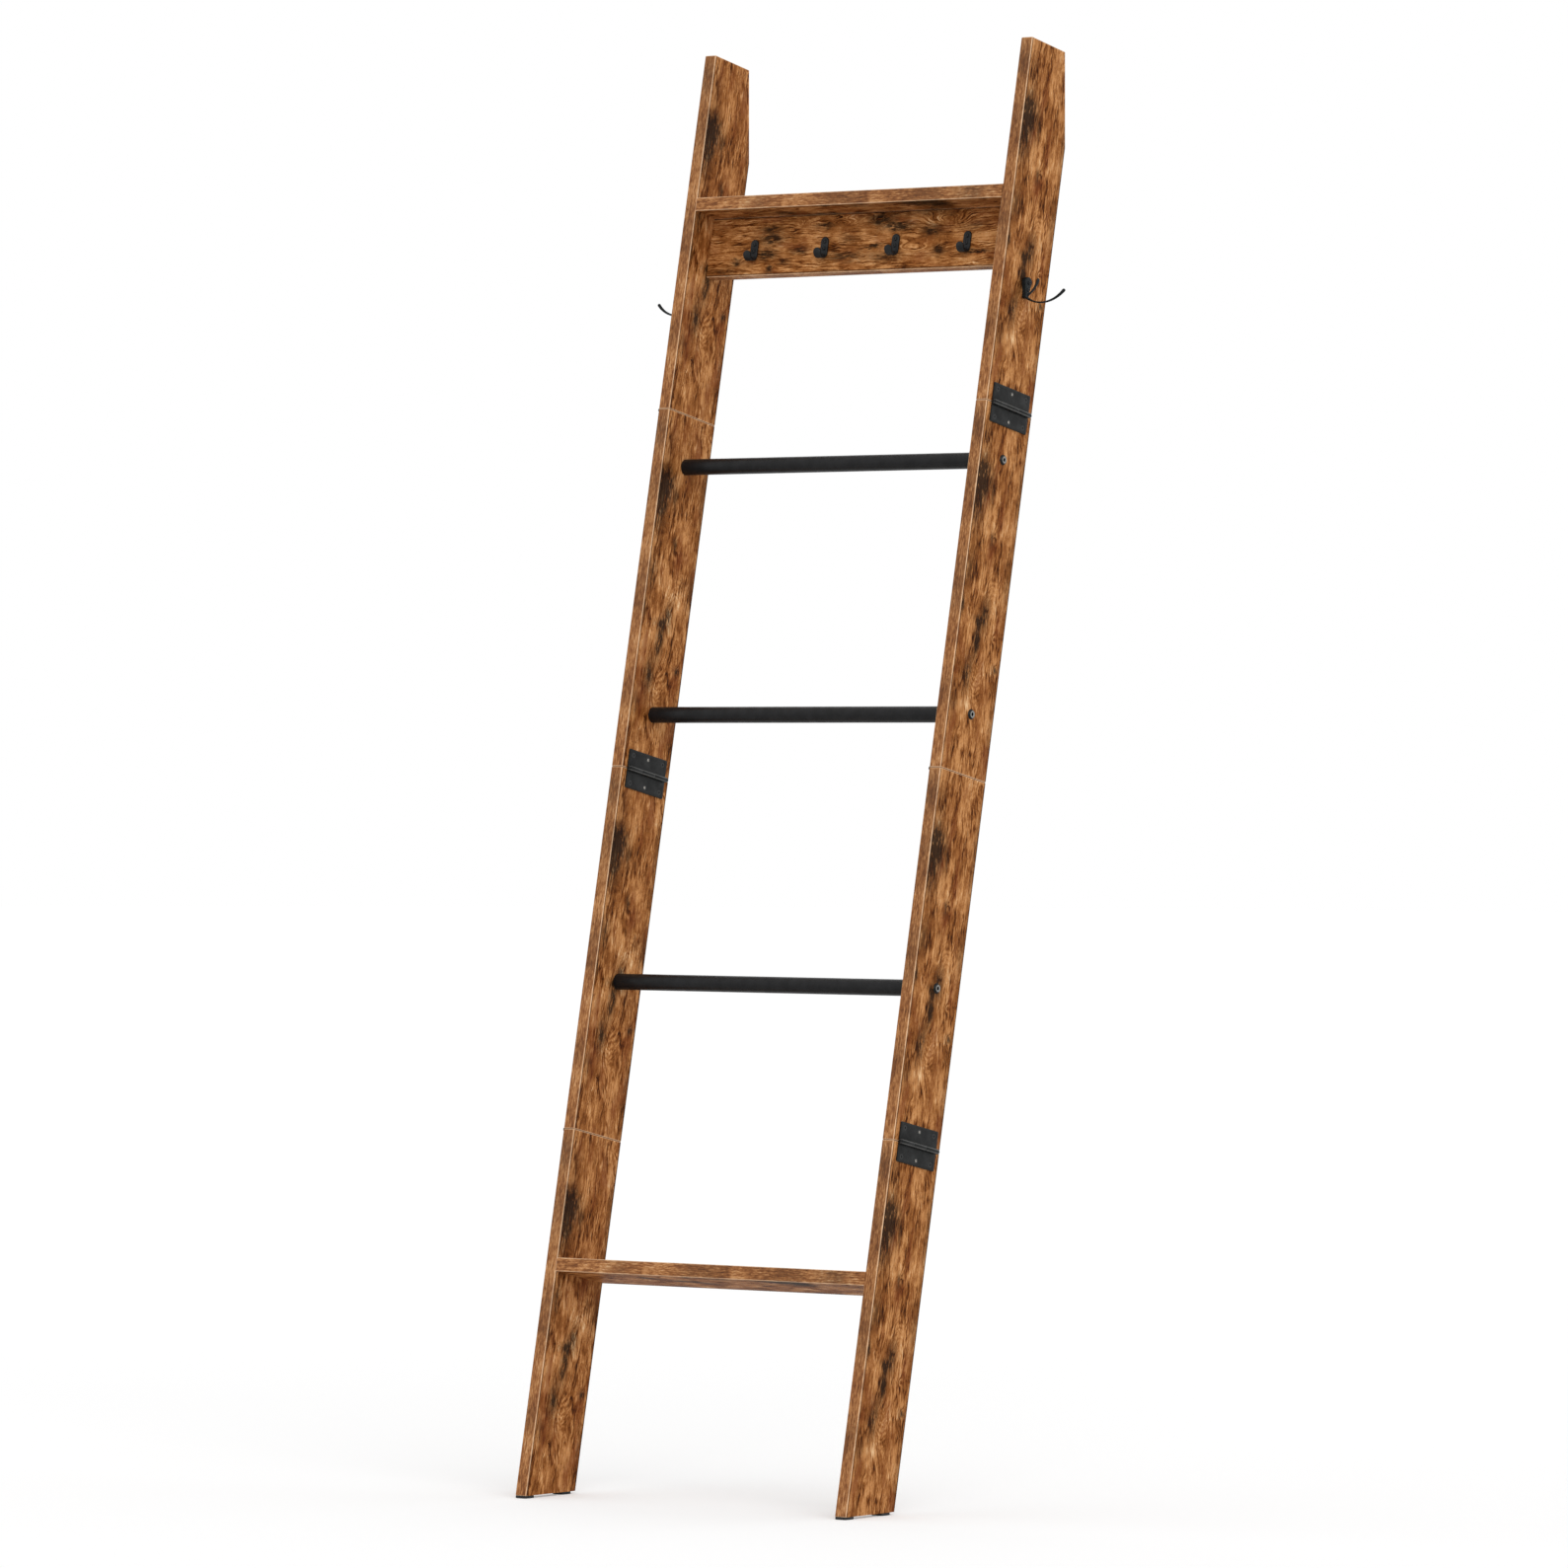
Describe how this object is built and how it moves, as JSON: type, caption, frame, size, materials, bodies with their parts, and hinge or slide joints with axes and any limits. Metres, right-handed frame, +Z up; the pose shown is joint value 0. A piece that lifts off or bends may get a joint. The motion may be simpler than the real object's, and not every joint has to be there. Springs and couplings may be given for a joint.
{
  "type": "leaning ladder rack",
  "caption": "Wall-leaning ladder rack with shelves, tubular rungs, a hook panel and side hooks; its legs are hinged boards that fold up for packing.",
  "frame": {"origin": "on the floor, under the middle of the whole object's box", "axes": "+Z up; +X to the right of a viewer who faces the front; +Y to the rear, towards the wall that the rack leans on"},
  "size_m": [0.597, 0.4238, 1.6931],
  "materials": {
    "wood": "matte wood-look foil on board, rustic brown with dark knots and cracks",
    "black_tube": "satin black powder coat on steel tube",
    "black_steel": "matte black coat on steel",
    "black_screw": "black coated steel fasteners",
    "zinc": "zinc-plated fittings",
    "plug": "moulded black plastic",
    "pad": "black foot pads"
  },
  "bodies": {
    "frame": {"bottom_rung": "black_tube", "cam_bolts_fixed": "zinc", "cams": "zinc", "hinge_screws_fixed": "black_screw", "hook_panel": "wood", "left_front_foot_pad": "pad", "left_leg_bottom": "wood", "left_leg_lower": "wood", "left_leg_top": "wood", "left_leg_upper": "wood", "left_lower_hinge_leaf_above": "black_steel", "left_lower_hinge_leaf_below": "black_steel", "left_lower_hinge_pin": "black_steel", "left_middle_hinge_leaf_above": "black_steel", "left_middle_hinge_leaf_below": "black_steel", "left_middle_hinge_pin": "black_steel", "left_rear_foot_pad": "pad", "left_side_hook": "black_steel", "left_side_hook_screws": "black_screw", "left_upper_hinge_leaf_above": "black_steel", "left_upper_hinge_leaf_below": "black_steel", "left_upper_hinge_pin": "black_steel", "lower_shelf": "wood", "middle_rung": "black_tube", "panel_hook_1": "black_steel", "panel_hook_2": "black_steel", "panel_hook_3": "black_steel", "panel_hook_4": "black_steel", "panel_hook_screws": "black_screw", "right_front_foot_pad": "pad", "right_leg_bottom": "wood", "right_lower_hinge_leaf_below": "black_steel", "right_lower_hinge_pin": "black_steel", "right_rear_foot_pad": "pad", "rung_bolts_left": "black_screw", "rung_plugs": "plug", "top_rung": "black_tube", "top_shelf": "wood"},
    "right_lower": {"right_leg_lower": "wood", "right_lower_hinge_leaf_above": "black_steel", "right_middle_hinge_leaf_below": "black_steel", "right_middle_hinge_pin": "black_steel", "hinge_screws_right_lower": "black_screw", "rung_bolt_right_lower": "black_screw"},
    "right_upper": {"right_leg_upper": "wood", "right_middle_hinge_leaf_above": "black_steel", "right_upper_hinge_leaf_below": "black_steel", "right_upper_hinge_pin": "black_steel", "hinge_screws_right_upper": "black_screw", "rung_bolts_right_upper": "black_screw"},
    "right_top": {"right_leg_top": "wood", "right_upper_hinge_leaf_above": "black_steel", "hinge_screws_right_top": "black_screw", "right_side_hook": "black_steel", "right_side_hook_screws": "black_screw", "cam_bolts_right_top": "zinc"}
  },
  "joints": [
    {"name": "right_lower_fold", "type": "hinge", "parent": "frame", "child": "right_lower", "pos_m": [0.2434, -0.07807, 0.4162], "axis": [0, 0.9781, -0.2079], "range_deg": [0, 160]},
    {"name": "right_middle_fold", "type": "hinge", "parent": "right_lower", "child": "right_upper", "pos_m": [0.2206, 0.01175, 0.83876], "axis": [0, 0.9781, -0.2079], "range_deg": [-160, 0]},
    {"name": "right_upper_fold", "type": "hinge", "parent": "right_upper", "child": "right_top", "pos_m": [0.2434, 0.10157, 1.26132], "axis": [0, 0.9781, -0.2079], "range_deg": [0, 144]}
  ],
  "couplings": [
    {"joint": "right_middle_fold", "follows": "right_lower_fold", "ratio": -1},
    {"joint": "right_upper_fold", "follows": "right_lower_fold", "ratio": 0.9}
  ]
}
